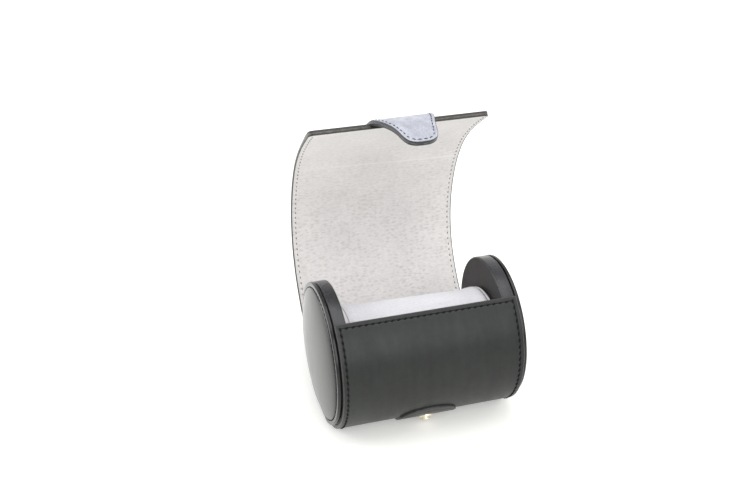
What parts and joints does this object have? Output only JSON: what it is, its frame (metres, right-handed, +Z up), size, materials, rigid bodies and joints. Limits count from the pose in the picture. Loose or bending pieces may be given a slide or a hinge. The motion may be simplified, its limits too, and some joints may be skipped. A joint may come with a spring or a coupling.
{
  "type": "watch travel case",
  "caption": "Roll-up leather travel case with round padded ends, a soft flap with a snap tab, and a cushion that holds a wrist watch.",
  "frame": {"origin": "centre of the flat sole, on the surface that the case rests on", "axes": "+X along the case to its right end, -Y to the front wall, +Z up"},
  "size_m": [0.1054, 0.116, 0.1591],
  "materials": {
    "charcoal_leather": "satin smooth leather with a fine grain",
    "black_leather": "satin smooth leather",
    "grey_suede": "matte suede with pore marks",
    "white_suede": "matte suede",
    "board": "matte grey-brown board",
    "foam": "matte open foam",
    "brass": "polished"
  },
  "bodies": {
    "case": {"disc_board_left": "board", "disc_board_right": "board", "disc_rim_left": "charcoal_leather", "disc_rim_right": "charcoal_leather", "disc_facing_left": "black_leather", "disc_facing_right": "black_leather", "cap_board_left": "board", "cap_board_right": "board", "cap_pad_left": "foam", "cap_pad_right": "foam", "cap_leather_left": "charcoal_leather", "cap_leather_right": "charcoal_leather", "wall_lining": "grey_suede", "wall_stiffener": "board", "wall_leather": "charcoal_leather", "stud_patch": "charcoal_leather", "snap_stud": "brass", "stud_rivet": "brass", "flap_root_lining": "grey_suede", "flap_root_leather": "charcoal_leather"},
    "flap_1": {"flap_lining_1": "grey_suede", "flap_leather_1": "charcoal_leather"},
    "flap_2": {"flap_lining_2": "grey_suede", "flap_leather_2": "charcoal_leather"},
    "flap_3": {"flap_lining_3": "grey_suede", "flap_leather_3": "charcoal_leather"},
    "flap_4": {"flap_lining_4": "grey_suede", "flap_leather_4": "charcoal_leather"},
    "flap_5": {"flap_lining_5": "grey_suede", "flap_leather_5": "charcoal_leather"},
    "flap_6": {"flap_lining_6": "grey_suede", "flap_leather_6": "charcoal_leather", "tab_root_lining": "black_leather", "tab_root_leather": "charcoal_leather"},
    "tab": {"tab_leather": "charcoal_leather", "tab_lining": "black_leather", "snap_socket": "brass", "socket_cap": "brass"},
    "cushion": {"cushion_core": "foam", "cushion_sleeve": "white_suede", "cushion_end_left": "white_suede", "cushion_end_right": "white_suede"}
  },
  "joints": [
    {"name": "flap_bend_1", "type": "hinge", "parent": "case", "child": "flap_1", "pos_m": [0, 0.03217, 0.01341], "axis": [1, 0, 0], "range_deg": [-3, 36]},
    {"name": "flap_bend_2", "type": "hinge", "parent": "flap_1", "child": "flap_2", "pos_m": [0, 0.05305, 0.02886], "axis": [1, 0, 0], "range_deg": [-2.84, 23.03]},
    {"name": "flap_bend_3", "type": "hinge", "parent": "flap_2", "child": "flap_3", "pos_m": [0, 0.07287, 0.06405], "axis": [1, 0, 0], "range_deg": [-2.89, 23.64]},
    {"name": "flap_bend_4", "type": "hinge", "parent": "flap_3", "child": "flap_4", "pos_m": [0, 0.0672, 0.10435], "axis": [1, 0, 0], "range_deg": [-2.8, 22.64]},
    {"name": "flap_bend_5", "type": "hinge", "parent": "flap_4", "child": "flap_5", "pos_m": [0, 0.05708, 0.12223], "axis": [1, 0, 0], "range_deg": [-2.55, 19.61]},
    {"name": "flap_bend_6", "type": "hinge", "parent": "flap_5", "child": "flap_6", "pos_m": [0, 0.04332, 0.13752], "axis": [1, 0, 0], "range_deg": [-2.17, 15.08]},
    {"name": "tab_flex", "type": "hinge", "parent": "flap_6", "child": "tab", "pos_m": [0, 0.03016, 0.15446], "axis": [1, 0, 0], "range_deg": [-30, 5.74], "stiffness_Nm_per_rad": 0.03},
    {"name": "cushion_lift", "type": "slide", "parent": "case", "child": "cushion", "axis": [0, 0, 1], "range_m": [0, 0.01]}
  ],
  "couplings": [
    {"joint": "flap_bend_2", "follows": "flap_bend_1", "ratio": 0.612},
    {"joint": "flap_bend_3", "follows": "flap_bend_1", "ratio": 0.629},
    {"joint": "flap_bend_4", "follows": "flap_bend_1", "ratio": 0.601},
    {"joint": "flap_bend_5", "follows": "flap_bend_1", "ratio": 0.517},
    {"joint": "flap_bend_6", "follows": "flap_bend_1", "ratio": 0.391}
  ]
}
